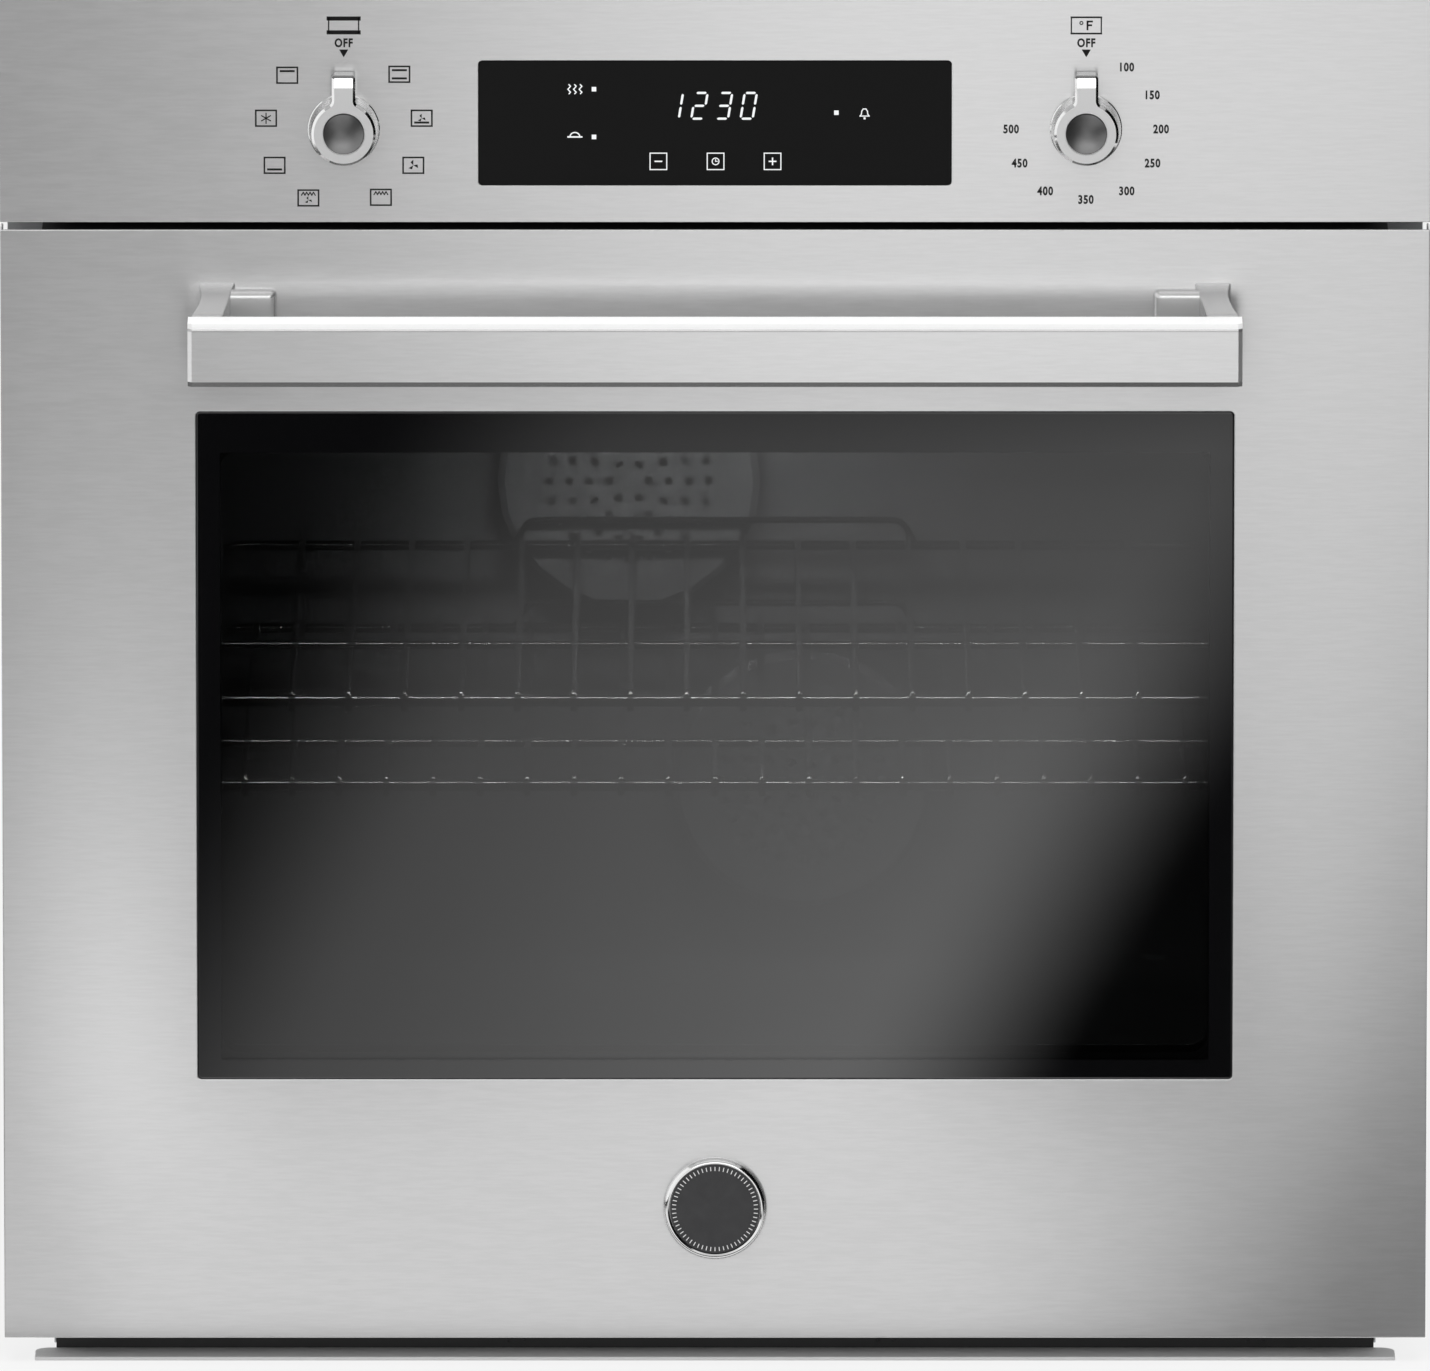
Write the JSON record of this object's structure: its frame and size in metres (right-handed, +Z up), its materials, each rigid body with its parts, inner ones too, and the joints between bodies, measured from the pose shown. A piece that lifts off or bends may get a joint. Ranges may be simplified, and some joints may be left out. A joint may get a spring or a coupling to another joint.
{
  "type": "wall oven",
  "caption": "Built-in wall oven with a drop-down glass door, bar handle, two rotary knobs, a dark display, wire racks and convection fans.",
  "frame": {"origin": "on the plane of the underside, under the middle of the whole oven's box", "axes": "+X to the user's right across the front, +Y from the door to the back, +Z up"},
  "size_m": [0.756, 0.6858, 0.736],
  "materials": {
    "stainless": "brushed stainless steel, horizontal grain",
    "polished": "polished chrome",
    "galvanised": "plain zinc-coated sheet",
    "enamel": "dark grey vitreous enamel",
    "black_sheet": "satin black paint",
    "black_plastic": "black moulded plastic",
    "window_glass": "dark tinted oven glass",
    "display_glass": "black glass",
    "wire": "chromed wire",
    "element": "dark heater sheath",
    "gasket": "woven glass fibre seal",
    "lamp_glass": "clear lamp cover"
  },
  "bodies": {
    "chassis": {"base_pan": "black_sheet", "lower_front": "black_sheet", "bottom_trim": "stainless", "top_panel": "galvanised", "rear_panel": "galvanised", "rear_cover": "galvanised", "terminal_box": "galvanised", "front_frame": "enamel", "side_panel_left": "galvanised", "side_panel_right": "galvanised", "flange_left": "galvanised", "flange_right": "galvanised", "hinge_arm_left": "galvanised", "hinge_arm_right": "galvanised", "hinge_receiver_left": "galvanised", "hinge_receiver_right": "galvanised", "latch_body": "galvanised", "oven_cavity": "enamel", "door_gasket": "gasket", "broil_element": "element", "rack_support_left": "wire", "rack_support_right": "wire", "oven_lamp_left": "lamp_glass", "oven_lamp_right": "lamp_glass", "fan_cover_upper": "enamel", "fan_cover_lower": "enamel", "ring_element_upper": "element", "ring_element_lower": "element", "fan_motor_upper": "galvanised", "fan_motor_lower": "galvanised", "blower_housing": "galvanised", "air_duct": "galvanised", "control_panel": "stainless", "display_glass": "display_glass", "control_board": "black_plastic", "control_housing": "galvanised", "selector_switch": "black_plastic", "thermostat": "black_plastic"},
    "door": {"door_panel": "stainless", "door_liner": "enamel", "glass_frame": "black_plastic", "window_glass_outer": "window_glass", "window_glass_middle": "window_glass", "window_glass_inner": "window_glass", "handle_bar": "stainless", "handle_bracket_left": "polished", "handle_bracket_right": "polished", "hinge_case_left": "galvanised", "hinge_case_right": "galvanised", "badge": "polished"},
    "function_dial": {"function_knob": "polished", "function_knob_cap": "black_plastic"},
    "temperature_dial": {"temperature_knob": "polished", "temperature_knob_cap": "black_plastic"},
    "upper_rack": {"rack_upper": "wire"},
    "lower_rack": {"rack_lower": "wire"},
    "upper_fan": {"convection_fan_upper": "galvanised"},
    "lower_fan": {"convection_fan_lower": "galvanised"},
    "cooling_rotor": {"cooling_wheel": "galvanised"},
    "latch": {"latch_hook": "galvanised"}
  },
  "joints": [
    {"name": "door_hinge", "type": "hinge", "parent": "chassis", "child": "door", "pos_m": [0, -0.2689, 0.028], "axis": [1, 0, 0], "range_deg": [0, 90], "stiffness_Nm_per_rad": 20, "springref_deg": -28.65},
    {"name": "function_turn", "type": "hinge", "parent": "chassis", "child": "function_dial", "pos_m": [-0.196, -0.2829, 0.666], "axis": [0, 1, 0], "range_deg": [0, 314]},
    {"name": "temperature_turn", "type": "hinge", "parent": "chassis", "child": "temperature_dial", "pos_m": [0.196, -0.2829, 0.666], "axis": [0, 1, 0], "range_deg": [0, 305]},
    {"name": "upper_rack_slide", "type": "slide", "parent": "chassis", "child": "upper_rack", "axis": [0, -1, 0], "range_m": [0, 0.28]},
    {"name": "lower_rack_slide", "type": "slide", "parent": "chassis", "child": "lower_rack", "axis": [0, -1, 0], "range_m": [0, 0.28]},
    {"name": "upper_fan_spin", "type": "hinge", "parent": "chassis", "child": "upper_fan", "pos_m": [-0.047, 0.2496, 0.3767], "axis": [0, 1, 0], "continuous": true},
    {"name": "lower_fan_spin", "type": "hinge", "parent": "chassis", "child": "lower_fan", "pos_m": [0.0477, 0.2496, 0.2104], "axis": [0, 1, 0], "continuous": true},
    {"name": "cooling_spin", "type": "hinge", "parent": "chassis", "child": "cooling_rotor", "pos_m": [0, 0.1871, 0.64], "axis": [1, 0, 0], "continuous": true},
    {"name": "latch_swing", "type": "hinge", "parent": "chassis", "child": "latch", "pos_m": [-0.02, -0.2209, 0.5685], "axis": [0, 0, 1], "range_deg": [-75, 0]}
  ],
  "couplings": [
    {"joint": "upper_rack_slide", "follows": "door_hinge", "m_per_rad": 0.178},
    {"joint": "lower_rack_slide", "follows": "door_hinge", "m_per_rad": 0.178}
  ]
}
